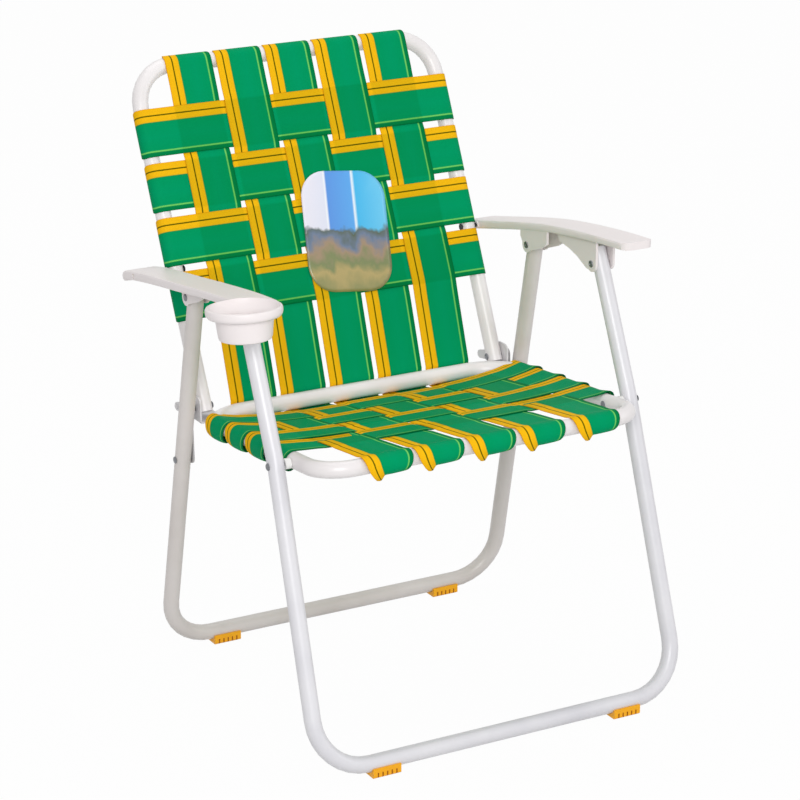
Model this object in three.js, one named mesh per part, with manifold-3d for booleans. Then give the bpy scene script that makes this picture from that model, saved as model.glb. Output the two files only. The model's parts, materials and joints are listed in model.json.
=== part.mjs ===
// Folding webbed lawn chair: four bent steel tube frames, two moulded armrests, one of them with a cup
// holder, pressed hinge plates and links, rivets, foot glides and woven straps, each its own solid.
// Millimetres, +Z up, the front of the chair faces -Y, the sitter's right hand side is -X.
import * as THREE from 'three';
import { mergeVertices } from 'three/addons/utils/BufferGeometryUtils.js';
import Module from 'manifold-3d';

const wasm = await Module();
wasm.setup();

// Tube
const tubeRadius = 11;
const tubeBore = 9.7;
const tubeSides = 20;
const bendSteps = 8;
const endBoreDepth = 22;
const tubeEndBeyondPivot = 8;
const overrun = 2;
const sink = 1;

// Seat frame in the side view, as Y and Z
const seatRearY = 105.5;
const seatRearZ = 362.3;
const seatFrontY = -245;
const seatFrontZ = 396;
const seatRearBend = 60;
const seatFrontBend = 42;

// Pivots in the side view. The back, the front legs, the seat and the armrests make a parallelogram
const hingeBehindSeat = 12;
const hingeOverSeat = 11.2;
const seatPivotIn = 71;
const crankLong = 187.245;
const crankOffBack = 2.624;
const rearPivotAhead = 132.1;
const rearPivotUnder = 4.1;
const linkDown = 247.4;

// Back frame
const backTopY = 315.3;
const backTopZ = 796.1;
const backCornerBend = 56;

// Foot bars
const frontFootY = -300;
const rearFootY = 176.3;
const frontCornerBend = 68;
const frontKneeBend = 150;
const rearCornerBend = 64;

// Webbing
const longCount = 5;
const seatCrossCount = 4;
const webThick = 1.3;
const webWidth = 69;
const webBetween = 6.5;
const webSide = 32.5;
const backCrossWidth = 66;
const backCrossBetween = 9;
const crossPastPivot = 0.56;
const seatCrossIn = 31.5;
const seatCrossBetween = 0.5;
const seatCrossBush = 1.5;
const webGap = 0.5;
const webTuck = 14;
const underGap = 1.25;
const webFlat = 3.6;
const webFrontFlat = 16;
const webLeaveIn = 5.8;
const webRearRise = 33;
const webFrontRise = 55;
const splitGap = 1;
const wrapSteps = 8;

// Widths, each from its neighbour: webbing, back, seat, front legs, rear legs
const backSpread = 3;
const backInset = 7;
const bushLong = 8.5;
const frontLean = 0.5;
const frontSpread = 6.5;
const rearInset = 4.1;
const rearSpread = 3.1;

// Armrests. The curves give, from the rear to the front, shares of the length and of the rise
const armWide = 48;
const armEdge = 1.8;
const armSkin = 3;
const armWall = 2.6;
const armEnd = 3.6;
const armDepth = 13;
const armTipDepth = 10.5;
const armRound = 3;
const armPastBack = 38.5;
const armPastFront = 87;
const armRearDrop = 2.2;
const armFrontOver = 50;
const armCupOver = 37.1;
const armFrontCorner = 13;
const armCurveShares = [
  [0, 0], [0.0935, 0.13], [0.2245, 0.312], [0.363, 0.5], [0.511, 0.677], [0.6, 0.758], [0.703, 0.84],
  [0.801, 0.903], [0.894, 0.955], [1, 1],
];
const armCupShares = [
  [0, 0], [0.0935, 0.155], [0.242, 0.33], [0.415, 0.51], [0.555, 0.664], [0.757, 0.862],
  [0.899, 0.96], [1, 1],
];
const armCurveSteps = 16;
const earThick = 3.5;
const earGap = 0.6;

// Lugs: shares of the lug's length along it, and of its radius above the pivot
const lugRadius = 11;
const lugSteps = 8;
const frontLugLong = 91;
const frontLugTopShares = [0, 0.626, 1];
const frontLugLowShares = [[0.89, 1.083], [0.626, 0.75], [0.385, 0.167], [0.231, -0.44], [0.132, -0.8]];
const rearLugLong = 52.4;
const rearLugBack = 16.6;
const rearLugTopShares = [-1, -0.618];
const rearLugHeelShare = 0.9;
const rearLugToeShares = [[-0.695, 0.317], [-1, 1.15]];
const bossRadius = 5.2;
const bossGap = 2.1;
const accessHole = 3.6;

// Cup holder on the armrest at -X
const cupBeyond = 1;
const cupLegGap = 2.4;
const cupDrop = 2.4;
const cupArmPast = 4;
const cupTilt = 0.084;
const cupRim = 48.5;
const cupMouth = 43.8;
const cupOver = 0.8;
const cupLip = 13.5;
const cupRoll = 6.5;
const cupWall = 2.3;
const cupTop = 36.6;
const cupFoot = 34;
const cupDeep = 42;
const cupFootRound = 4.5;
const cupFloor = 2.6;
const cupEdge = 2.6;
const cupFillet = 1.5;
const cupThroat = 16;
const throatShares = [[0.1, 0], [0.27, 0.08], [0.45, 0.27], [0.63, 0.58], [0.8, 0.86], [1, 1]];
const cupSides = 40;
const legClear = 3.6;

// Rivets, bush, plates
const shank = 2.9;
const rivetHole = 3.25;
const rivetSides = 16;
const headRadius = 4.8;
const headHigh = 1.8;
const innerHeadHigh = 1.5;
const flushHead = 0.5;
const smallHead = 4;
const headPocket = 4.5;
const touch = 0.3;
const bushRadius = 7;
const bushSides = 24;
const collarGap = 0.5;
const collarRadius = 5;

// Hinge plate: outline about the hinge pin, as shares of its half width and of its tab's length
const plateGap = 0.4;
const plateThick = 2.4;
const plateHalf = 17.5;
const plateBelow = 16.7;
const plateShares = [[-1, 0.543], [-0.886, 0.829], [-0.6, 1], [0.371, 1], [0.771, 0.857], [1.057, 0.429]];
const tabLong = 64.5;
const tabShares = [
  [0.38, -0.008], [0.922, -0.157], [0.978, -0.188], [1, -0.248], [0.975, -0.309], [0.915, -0.34],
];
const studShares = [0.901, -0.247];
const floorReach = 32.4;
const floorHalf = 21.5;
const floorThick = 2.4;
const studRadius = 3.6;
const studHigh = 1.4;
const linkGap = 0.61;
const linkThick = 2.3;
const linkRound = 8;

// Foot glides
const glideLong = 40;
const glideSide = 2.2;
const glideSole = 4.7;
const glideBelowAxis = 2.8;
const glideChamfer = 1.6;
const glideGap = 0.3;
const glideSteps = 14;
const grooveCount = 5;
const grooveWide = 2;
const grooveDeep = 1.3;
const grooveTop = 7.5;
const frontGlideIn = 89;
const rearGlideIn = 86;

// Card hung on the webbing
const cardWide = 128;
const cardHigh = 164;
const cardCorner = 38;
const cardThick = 1;
const cardX = 31.5;
const cardUp = 207;
const cardTurn = 0.113;

// Half widths to the tubes' axes
const webField = longCount * webWidth + (longCount - 1) * webBetween;
const backTopHalf = webField / 2 + webSide + tubeRadius;
const backLowHalf = backTopHalf - backSpread;
const seatHalf = backLowHalf + backInset;
const frontMidHalf = seatHalf + tubeRadius + bushLong + tubeRadius;
const frontTopHalf = frontMidHalf - frontLean;
const frontBarHalf = frontMidHalf + frontSpread;
const rearTopHalf = frontTopHalf - rearInset;
const rearBarHalf = rearTopHalf + rearSpread;
const footBarZ = tubeRadius + glideGap + glideSole;

// Colours
const white = 0xe9e8ec;
const plastic = 0xe4e0dc;
const green = 0x0a9550;
const yellow = 0xf2a80c;
const steel = 0xb9bcc0;
const coated = 0xd9d9dd;
const spacer = 0xf4f4f2;
const cardBlue = 0x8fb8d8;

const V3 = (x, y, z) => new THREE.Vector3(x, y, z);
const full = Math.PI * 2;

// A route that keeps its own points, so that a tube gets rings only where it bends.
class Route extends THREE.Curve {
  constructor(points, closed = false) {
    super();
    this.points = points;
    this.closed = closed;
  }
  getPoint(u) {
    return this.getPointAt(u);
  }
  getPointAt(u) {
    return this.points[Math.round(u * (this.points.length - 1))].clone();
  }
  getTangentAt(u) {
    const last = this.points.length - 1;
    const i = Math.round(u * last);
    let before = i > 0 ? this.points[i].clone().sub(this.points[i - 1]).normalize() : V3(0, 0, 0);
    let after = i < last ? this.points[i + 1].clone().sub(this.points[i]).normalize() : V3(0, 0, 0);
    if (this.closed && i === 0) before = this.points[last].clone().sub(this.points[last - 1]).normalize();
    if (this.closed && i === last) after = this.points[1].clone().sub(this.points[0]).normalize();
    return before.add(after).normalize();
  }
}

// Corner points joined by straight runs and true arcs.
function bendRoute(corners, bends, closed = false) {
  const out = [];
  const n = corners.length;
  for (let i = 0; i < n; i++) {
    if (!closed && (i === 0 || i === n - 1)) {
      out.push(corners[i].clone());
      continue;
    }
    const here = corners[i];
    const a = corners[(i - 1 + n) % n].clone().sub(here).normalize();
    const b = corners[(i + 1) % n].clone().sub(here).normalize();
    const half = a.angleTo(b) / 2;
    const away = a.clone().add(b).normalize();
    const centre = here.clone().addScaledVector(away, bends[i] / Math.sin(half));
    const first = here.clone().addScaledVector(a, bends[i] / Math.tan(half)).sub(centre);
    const axis = a.clone().cross(b).normalize();
    const sweep = Math.PI - half * 2;
    const steps = Math.max(2, Math.round(bendSteps * sweep / (Math.PI / 2)));
    for (let k = 0; k <= steps; k++) {
      out.push(first.clone().applyAxisAngle(axis, -sweep * k / steps).add(centre));
    }
  }
  if (closed) out.push(out[0].clone());
  return new Route(out, closed);
}

function ring(radius, sides) {
  const pts = [];
  for (let i = 0; i < sides; i++) {
    pts.push(new THREE.Vector2(radius * Math.cos(full * i / sides), radius * Math.sin(full * i / sides)));
  }
  return new THREE.Shape(pts);
}

// Round bar along a route. A closed route keeps only the side faces, so its two ends join.
function bar(route, radius, sides = tubeSides) {
  const steps = route.points.length - 1;
  const geo = new THREE.ExtrudeGeometry(ring(radius, sides), { steps, extrudePath: route });
  if (!route.closed) return solid(geo);
  const side = geo.groups.find((g) => g.materialIndex === 1);
  const kept = geo.attributes.position.array.slice(side.start * 3, (side.start + side.count) * 3);
  const open = new THREE.BufferGeometry();
  open.setAttribute('position', new THREE.BufferAttribute(kept, 3));
  return solid(open);
}

function solid(geo) {
  const g = geo.index ? geo.toNonIndexed() : geo.clone();
  g.deleteAttribute('normal');
  g.deleteAttribute('uv');
  const m = mergeVertices(g, weld);
  const mesh = new wasm.Mesh({
    numProp: 3,
    vertProperties: new Float32Array(m.attributes.position.array),
    triVerts: new Uint32Array(m.index.array),
  });
  return new wasm.Manifold(mesh);
}

function toGeometry(man) {
  const out = man.getMesh();
  const pos = new Float32Array(out.numVert * 3);
  for (let i = 0; i < out.numVert; i++) {
    for (let k = 0; k < 3; k++) pos[i * 3 + k] = out.vertProperties[i * out.numProp + k];
  }
  const geo = new THREE.BufferGeometry();
  geo.setAttribute('position', new THREE.BufferAttribute(pos, 3));
  geo.setIndex(new THREE.BufferAttribute(new Uint32Array(out.triVerts), 1));
  const flat = geo.toNonIndexed();
  flat.computeVertexNormals();
  return flat;
}

const weldShare = 1 / 11000;
const weld = tubeRadius * weldShare;

// Extrude an outline drawn in the side view (Y across, Z up) along X, from x0 to x1.
const sideToWorld = new THREE.Matrix4().makeBasis(V3(0, 1, 0), V3(0, 0, 1), V3(1, 0, 0));
function sideSolid(outline, x0, x1, round = 0) {
  const shape = new THREE.Shape(outline.map((p) => new THREE.Vector2(p[0], p[1])));
  const low = Math.min(x0, x1);
  const long = Math.abs(x1 - x0);
  const options = { depth: long - round * 2, steps: 1, bevelEnabled: round > 0 };
  options.bevelThickness = round;
  options.bevelSize = round;
  options.bevelOffset = -round;
  options.bevelSegments = 2;
  const geo = new THREE.ExtrudeGeometry(shape, options);
  geo.translate(0, 0, low + round);
  geo.applyMatrix4(sideToWorld);
  return solid(geo);
}

// Round pin along X with its axis through Y and Z, from x0 to x1
function pinX(y, z, radius, x0, x1, sides = rivetSides) {
  const outline = [];
  for (let i = 0; i < sides; i++) {
    const a = full * (i + 0.5) / sides;
    outline.push([y + radius * Math.cos(a), z + radius * Math.sin(a)]);
  }
  return sideSolid(outline, x0, x1);
}

function arc(cy, cz, radius, from, to, steps) {
  const pts = [];
  for (let i = 0; i <= steps; i++) {
    const a = from + (to - from) * i / steps;
    pts.push([cy + radius * Math.cos(a), cz + radius * Math.sin(a)]);
  }
  return pts;
}

const group = new THREE.Group();
function add(name, man, colour, roughness, metalness = 0) {
  const material = new THREE.MeshStandardMaterial({ color: colour, roughness, metalness });
  const mesh = new THREE.Mesh(man.isBufferGeometry ? man : toGeometry(man), material);
  mesh.name = name;
  group.add(mesh);
  return mesh;
}
const sides = [['left', -1], ['right', 1]];

// Open a tube's end: a bore that starts past the tip and runs down the tube
function boreEnd(frame, tip, down, x) {
  const from = atX(tip.clone().addScaledVector(down, -overrun), x);
  const to = atX(tip.clone().addScaledVector(down, endBoreDepth), x);
  return frame.subtract(bar(new Route([from, to]), tubeBore));
}

// Drill a tube through for a rivet
function drill(frame, p, x) {
  const reach = tubeRadius + overrun;
  return frame.subtract(pinX(p.y, p.z, rivetHole, x - reach, x + reach));
}

function mix(a, b, share) {
  return a + (b - a) * share;
}
const unit = (y, z) => V3(0, y, z).normalize();
const atX = (p, x) => V3(x, p.y, p.z);

// Side view directions and pivots
const seatLine = (y) => mix(seatRearZ, seatFrontZ, (seatRearY - y) / (seatRearY - seatFrontY));
const seatBack = unit(seatRearY - seatFrontY, seatRearZ - seatFrontZ);
const seatUp = V3(0, -seatBack.z, seatBack.y);
const seatPivotY = seatFrontY + seatPivotIn;
const seatPivotZ = seatLine(seatPivotY);
const seatPivot = V3(0, seatPivotY, seatPivotZ);
const backPivotY = seatRearY + hingeBehindSeat;
const backPivotZ = seatRearZ + hingeOverSeat;
const backPivot = V3(0, backPivotY, backPivotZ);
const backTop = V3(0, backTopY, backTopZ);
const backUp = unit(backTopY - backPivotY, backTopZ - backPivotZ);
const backOut = V3(0, -backUp.z, backUp.y);
const crank = backUp.clone().multiplyScalar(crankLong).addScaledVector(backOut, crankOffBack);
const crankUnit = crank.clone().normalize();
const frontPivot = seatPivot.clone().add(crank);
const armBackPivot = backPivot.clone().add(crank);
const rearPivot = armBackPivot.clone();
rearPivot.lerp(frontPivot, rearPivotAhead / (armBackPivot.y - frontPivot.y));
rearPivot.z -= rearPivotUnder;
const rearDown = unit(rearFootY - rearPivot.y, footBarZ - rearPivot.z);
const linkPivot = rearPivot.clone().addScaledVector(rearDown, linkDown);
const rearHalfAt = (z) => mix(rearTopHalf, rearBarHalf, (rearPivot.z - z) / (rearPivot.z - footBarZ));
const backHalfAt = (z) => mix(backLowHalf, backTopHalf, (z - backPivotZ) / (backTopZ - backPivotZ));

// Faces across the chair, from the back frame out to the armrests
const plateIn = backLowHalf + tubeRadius + plateGap;
const linkIn = rearHalfAt(linkPivot.z) - tubeRadius - linkGap - linkThick;
const collarEnd = linkIn - collarGap;
const armInner = rearTopHalf - tubeRadius - earGap - earThick - armEdge;
const armOuter = armInner + armWide;
const bossEnd = backHalfAt(armBackPivot.z) + tubeRadius + bossGap;

// Front leg frame
{
  const top = frontPivot.clone().addScaledVector(crankUnit, tubeEndBeyondPivot);
  const corners = [
    atX(top, -frontTopHalf), atX(seatPivot, -frontMidHalf), V3(-frontBarHalf, frontFootY, footBarZ),
    V3(frontBarHalf, frontFootY, footBarZ), atX(seatPivot, frontMidHalf), atX(top, frontTopHalf),
  ];
  const bends = [0, frontKneeBend, frontCornerBend, frontCornerBend, frontKneeBend, 0];
  let frame = bar(bendRoute(corners, bends), tubeRadius);
  const down = crankUnit.clone().negate();
  for (const [, s] of sides) {
    frame = boreEnd(frame, top, down, s * frontTopHalf);
    frame = drill(frame, frontPivot, s * frontTopHalf);
    frame = drill(frame, seatPivot, s * frontMidHalf);
  }
  add('front_leg_frame', frame, white, 0.32);
}

// Rear leg frame
{
  const top = rearPivot.clone().addScaledVector(rearDown, -tubeEndBeyondPivot);
  const corners = [
    atX(top, -rearTopHalf), V3(-rearBarHalf, rearFootY, footBarZ),
    V3(rearBarHalf, rearFootY, footBarZ), atX(top, rearTopHalf),
  ];
  let frame = bar(bendRoute(corners, [0, rearCornerBend, rearCornerBend, 0]), tubeRadius);
  for (const [, s] of sides) {
    frame = boreEnd(frame, top, rearDown, s * rearTopHalf);
    for (const p of [rearPivot, linkPivot]) frame = drill(frame, p, s * rearHalfAt(p.z));
  }
  add('rear_leg_frame', frame, white, 0.32);
}

// Back frame
{
  const low = backPivot.clone().addScaledVector(backUp, -tubeEndBeyondPivot);
  const corners = [
    atX(low, -backLowHalf), atX(backTop, -backTopHalf), atX(backTop, backTopHalf), atX(low, backLowHalf),
  ];
  let frame = bar(bendRoute(corners, [0, backCornerBend, backCornerBend, 0]), tubeRadius);
  for (const [, s] of sides) {
    frame = boreEnd(frame, low, backUp, s * backLowHalf);
    for (const p of [backPivot, armBackPivot]) frame = drill(frame, p, s * backHalfAt(p.z));
  }
  add('back_frame', frame, white, 0.32);
}

// Seat frame, one closed loop
const seatCorners = [
  V3(-seatHalf, seatRearY, seatRearZ), V3(-seatHalf, seatFrontY, seatFrontZ),
  V3(seatHalf, seatFrontY, seatFrontZ), V3(seatHalf, seatRearY, seatRearZ),
];
const seatRoute = bendRoute(seatCorners, [seatRearBend, seatFrontBend, seatFrontBend, seatRearBend], true);
{
  let frame = bar(seatRoute, tubeRadius);
  for (const [, s] of sides) frame = drill(frame, seatPivot, s * seatHalf);
  add('seat_frame', frame, white, 0.32);
}

// Top line of an armrest, through points at shares of its length and rise
const armRearY = armBackPivot.y + armPastBack;
const armRearZ = armBackPivot.z - armRearDrop;
const armFrontY = frontPivot.y - armPastFront;
function armCurve(shares, over) {
  return shares.map(([a, b]) => [mix(armRearY, armFrontY, a), mix(armRearZ, frontPivot.z + over, b)]);
}

function armLine(points, y0, y1, down = 0) {
  const curve = new THREE.SplineCurve(points.map((p) => new THREE.Vector2(p[0], p[1])));
  const dense = curve.getPoints(armCurveSteps * 12);
  const out = [];
  for (let i = 0; i <= armCurveSteps; i++) {
    const y = mix(y0, y1, i / armCurveSteps);
    let j = dense.findIndex((p) => p.x <= y);
    if (j < 1) j = j < 0 ? dense.length - 1 : 1;
    const a = dense[j - 1];
    const b = dense[j];
    const z = mix(a.y, b.y, (y - a.x) / (b.x - a.x));
    out.push([y, z - down]);
  }
  return out;
}

// Outline of one lug: the ear's edge, with a round toe about the pivot
function lugOutline(lead, pivot, tail, from, to) {
  return [...lead, ...arc(pivot.y, pivot.z, lugRadius, from, to, lugSteps), ...tail];
}

const frontEar = [frontTopHalf - tubeRadius - earGap - earThick, frontTopHalf - tubeRadius - earGap];
const frontEarOut = [frontTopHalf + tubeRadius + earGap, frontTopHalf + tubeRadius + earGap + earThick];
const rearEar = [rearTopHalf - tubeRadius - earGap - earThick, rearTopHalf - tubeRadius - earGap];
const rearEarOut = [rearTopHalf + tubeRadius + earGap, rearTopHalf + tubeRadius + earGap + earThick];

function armrest(s, curve, frontY) {
  const rearNose = armDepth / 2;
  const noseZ = armLine(curve, armRearY, frontY)[0][1];
  const top = armLine(curve, armRearY - rearNose, frontY);
  const low = top.map(([y, z], i) => [y, z - mix(armDepth, armTipDepth, i / armCurveSteps)]);
  const nose = arc(armRearY - rearNose, noseZ - rearNose, rearNose, -Math.PI / 2, Math.PI / 2, 4);
  const outline = [...nose.slice(0, -1), ...top, ...low.slice().reverse().slice(0, -1)];
  let body = sideSolid(outline.reverse(), s * armInner, s * armOuter, armRound);
  // the plan view outline rounds the front corners
  const long = armRearY - frontY;
  const wide = armOuter - armInner;
  const plan = new THREE.Shape();
  plan.moveTo(armInner, armRearY + overrun);
  plan.lineTo(armInner, frontY + armFrontCorner);
  const corner = armFrontCorner;
  plan.absarc(armInner + corner, frontY + corner, corner, Math.PI, Math.PI * 1.5, false);
  plan.lineTo(armOuter - corner, frontY);
  plan.absarc(armOuter - corner, frontY + corner, corner, Math.PI * 1.5, full, false);
  plan.lineTo(armOuter, armRearY + overrun);
  const options = { depth: long, steps: 1, bevelEnabled: false, curveSegments: 6 };
  const planGeo = new THREE.ExtrudeGeometry(plan, options);
  planGeo.translate(0, 0, rearPivot.z - wide);
  let cutter = solid(planGeo);
  if (s < 0) cutter = cutter.mirror([1, 0, 0]);
  body = body.intersect(cutter);
  // hollow from below
  const roof = armLine(curve, armRearY - armEnd, frontY + armEnd, armSkin);
  const floor = armLine(curve, armRearY - armEnd, frontY + armEnd, armDepth + armDepth);
  const hollowLine = [...roof, ...floor.reverse()];
  const hollow = sideSolid(hollowLine.reverse(), s * (armInner + armWall), s * (armOuter - armWall));
  body = body.subtract(hollow);
  // clevis ears for the two legs
  const onSkin = (y) => [y, armLine(curve, y, y - overrun)[0][1] - armSkin / 2];
  const f = frontPivot;
  const r = rearPivot;
  const frontLead = [
    onSkin(f.y - lugRadius),
    ...frontLugTopShares.map((share) => onSkin(f.y + share * frontLugLong)),
    ...frontLugLowShares.map(([a, b]) => [f.y + a * frontLugLong, f.z + b * lugRadius]),
  ];
  const frontShape = lugOutline(frontLead, f, [], Math.PI * 1.68, Math.PI);
  const rearLead = [
    ...rearLugTopShares.map((share) => onSkin(r.y + share * rearLugLong)),
    onSkin(r.y + rearLugBack), [r.y + rearLugBack, r.z + rearLugHeelShare * lugRadius],
  ];
  const rearToe = rearLugToeShares.map(([a, b]) => [r.y + a * rearLugLong, r.z + b * lugRadius]);
  const rearShape = lugOutline(rearLead, r, rearToe, Math.PI * 2.06, Math.PI * 1.2);
  for (const [a, b] of [frontEar, frontEarOut]) body = body.add(sideSolid(frontShape, s * a, s * b));
  for (const [a, b] of [rearEar, rearEarOut]) body = body.add(sideSolid(rearShape, s * a, s * b));
  const p = armBackPivot;
  body = body.add(pinX(p.y, p.z, bossRadius, s * bossEnd, s * (armInner + armWall), bushSides));
  return body;
}

function armHoles(body, s) {
  const hole = (p, radius, x0, x1) => {
    body = body.subtract(pinX(p.y, p.z, radius, s * x0, s * x1));
  };
  const pocket = armInner + armWall;
  hole(armBackPivot, rivetHole, bossEnd - overrun, pocket + overrun);
  hole(armBackPivot, headPocket, pocket, pocket + headHigh + touch);
  hole(armBackPivot, accessHole, armOuter - armWall - overrun, armOuter + overrun);
  hole(frontPivot, rivetHole, frontEar[0] - overrun, frontEarOut[1] + overrun);
  hole(rearPivot, rivetHole, rearEar[0] - overrun, rearEarOut[1] + overrun);
  return body;
}

function lathe(profile, sides = cupSides) {
  const geo = new THREE.LatheGeometry(profile.map((q) => new THREE.Vector2(q[0], q[1])), sides);
  geo.rotateX(Math.PI / 2);
  return geo;
}

// Cup holder bodies: profiles are radius and height from the rim plane, turned about the cup's own axis
const cupX = -(armOuter + cupBeyond);
const cupY = frontPivot.y - tubeRadius - cupLegGap - cupTop;
const cupZ = frontPivot.z + armCupOver - cupDrop;
function placeCup(geo) {
  geo.rotateX(-cupTilt);
  geo.translate(cupX, cupY, cupZ);
  return solid(geo);
}
const cupOutside = [
  [0, -cupDeep], [cupFoot - cupFootRound, -cupDeep],
  [cupFoot - cupFootRound * 0.3, -cupDeep + cupFootRound * 0.3],
  [cupFoot, -cupDeep + cupFootRound], [cupTop, -cupLip - cupFillet], [cupTop + cupFillet * 0.8, -cupLip],
  [cupRim - cupRoll, -cupLip], [cupRim - cupRoll * 0.38, -cupLip + cupRoll * 0.24],
  [cupRim - cupRoll * 0.1, -cupLip + cupRoll * 0.6], [cupRim, -cupLip + cupRoll], [cupRim, -cupEdge],
  [cupRim - cupEdge * 0.35, -cupEdge * 0.3], [cupRim - cupEdge, 0], [0, 0],
];
const cupInside = [
  [0, -cupDeep + cupFloor], [cupFoot - cupWall - cupFootRound * 0.6, -cupDeep + cupFloor],
  [cupFoot - cupWall, -cupDeep + cupFloor + cupFootRound * 0.6],
  ...throatShares.map(([a, b]) => [mix(cupMouth, cupTop - cupWall, b), -a * cupThroat]).reverse(),
  [cupMouth + cupOver, 0], [cupMouth + cupOver, cupLip * 3], [0, cupLip * 3],
];

{
  const right = armHoles(armrest(1, armCurve(armCurveShares, armFrontOver), armFrontY), 1);
  add('armrest_right', right, plastic, 0.55);

  let left = armrest(-1, armCurve(armCupShares, armCupOver), cupY - cupArmPast);
  left = left.add(placeCup(lathe(cupOutside)));
  left = left.subtract(placeCup(lathe(cupInside)));
  // room for the top of the front leg to turn between its ears
  const legX = [-(frontEarOut[0]), -(frontEar[1])];
  left = left.subtract(pinX(frontPivot.y, frontPivot.z, tubeRadius + legClear, legX[0], legX[1], bushSides));
  left = armHoles(left, -1);
  add('armrest_left_cup_holder', left, plastic, 0.55);
}

// Rivet as a turned profile along X, from its inner end to its outer end
function rivet(y, z, s, inner, outer, innerHigh, outerHigh, collar = 0, outRadius = headRadius) {
  const profile = [
    [0, inner - innerHigh], [headRadius * 0.72, inner - innerHigh], [headRadius, inner - innerHigh * 0.4],
    [headRadius, inner], [shank, inner], [shank, outer],
  ];
  if (collar > 0) profile.push([collarRadius, outer], [collarRadius, collar], [0, collar]);
  else {
    profile.push([outRadius, outer], [outRadius, outer + outerHigh * 0.4]);
    profile.push([outRadius * 0.72, outer + outerHigh], [0, outer + outerHigh]);
  }
  const geo = new THREE.LatheGeometry(profile.map((q) => new THREE.Vector2(q[0], q[1])), rivetSides);
  geo.rotateZ(-Math.PI / 2);
  if (s < 0) geo.rotateY(Math.PI);
  geo.translate(0, y, z);
  return geo;
}

for (const [side, s] of sides) {
  const f = frontPivot;
  const r = rearPivot;
  const b = armBackPivot;
  const h = backPivot;
  const k = linkPivot;
  const t = touch / 2;
  const out = (name, geo) => add(`${name}_${side}`, solid(geo), steel, 0.35, 0.8);
  out('arm_front_rivet', rivet(f.y, f.z, s, frontEar[0] - t, frontEarOut[1] + t, innerHeadHigh, headHigh));
  out('arm_rear_rivet', rivet(r.y, r.z, s, rearEar[0] - t, rearEarOut[1] + t, innerHeadHigh, headHigh));
  const bh = backHalfAt(b.z) - tubeRadius - touch;
  out('arm_back_rivet', rivet(b.y, b.z, s, bh, armInner + armWall + t, innerHeadHigh,
    innerHeadHigh, 0, smallHead));
  out('seat_leg_rivet', rivet(seatPivotY, seatPivotZ, s, seatHalf - tubeRadius - t,
    frontMidHalf + tubeRadius + touch, innerHeadHigh, headHigh));
  out('hinge_rivet', rivet(h.y, h.z, s, backLowHalf - tubeRadius - touch, plateIn + plateThick + t,
    innerHeadHigh, 0, collarEnd));
  const kh = rearHalfAt(k.z) + tubeRadius + touch;
  out('link_rivet', rivet(k.y, k.z, s, linkIn - t, kh, flushHead, headHigh));
}

// Spacer bush between the seat rail and the front leg
for (const [side, s] of sides) {
  const inner = seatHalf + tubeRadius + touch;
  const outer = frontMidHalf - tubeRadius - touch;
  let bush = pinX(seatPivotY, seatPivotZ, bushRadius, s * inner, s * outer, bushSides);
  bush = bush.subtract(pinX(seatPivotY, seatPivotZ, rivetHole, s * (inner - overrun), s * (outer + overrun)));
  add(`seat_bush_${side}`, bush, spacer, 0.4);
}

// Hinge plate: side plate with a rear tab, and a floor that meets the seat tube's rear corner
const seatClear = bar(seatRoute, tubeRadius + touch);
for (const [side, s] of sides) {
  const base = backPivotZ - plateBelow;
  const about = (size) => ([a, b]) => [backPivotY + a * size, backPivotZ + b * size];
  const line = [
    [backPivotY - plateHalf, base], ...plateShares.map(about(plateHalf)), ...tabShares.map(about(tabLong)),
    [backPivotY + floorHalf, base],
  ];
  const face = plateIn + plateThick;
  let plate = sideSolid(line.reverse(), s * plateIn, s * face);
  const front = backPivotY - floorHalf;
  const rear = backPivotY + floorHalf;
  const floor = [[front, base], [rear, base], [rear, base + floorThick], [front, base + floorThick]];
  plate = plate.add(sideSolid(floor, s * (plateIn - floorReach), s * face));
  const [studY, studZ] = about(tabLong)(studShares);
  plate = plate.add(pinX(studY, studZ, studRadius, s * (face - sink), s * (face + studHigh)));
  const holeIn = s * (plateIn - overrun);
  plate = plate.subtract(pinX(backPivotY, backPivotZ, rivetHole, holeIn, s * (face + overrun)));
  plate = plate.subtract(seatClear);
  add(`hinge_plate_${side}`, plate, coated, 0.4);
}

// Link between the hinge and the rear leg
for (const [side, s] of sides) {
  const k = linkPivot;
  const lean = Math.atan2(backPivotZ - k.z, backPivotY - k.y);
  const line = [
    ...arc(k.y, k.z, linkRound, lean + Math.PI / 2, lean + Math.PI * 1.5, lugSteps),
    ...arc(backPivotY, backPivotZ, linkRound, lean - Math.PI / 2, lean + Math.PI / 2, lugSteps),
  ];
  let link = sideSolid(line, s * linkIn, s * (linkIn + linkThick));
  const face = linkIn + linkThick;
  link = link.add(pinX(backPivotY, backPivotZ, headRadius, s * (face - sink), s * (face + flushHead)));
  link = link.subtract(pinX(k.y, k.z, rivetHole, s * (linkIn - overrun), s * (face + overrun)));
  add(`rear_link_${side}`, link, coated, 0.4);
}

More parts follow.
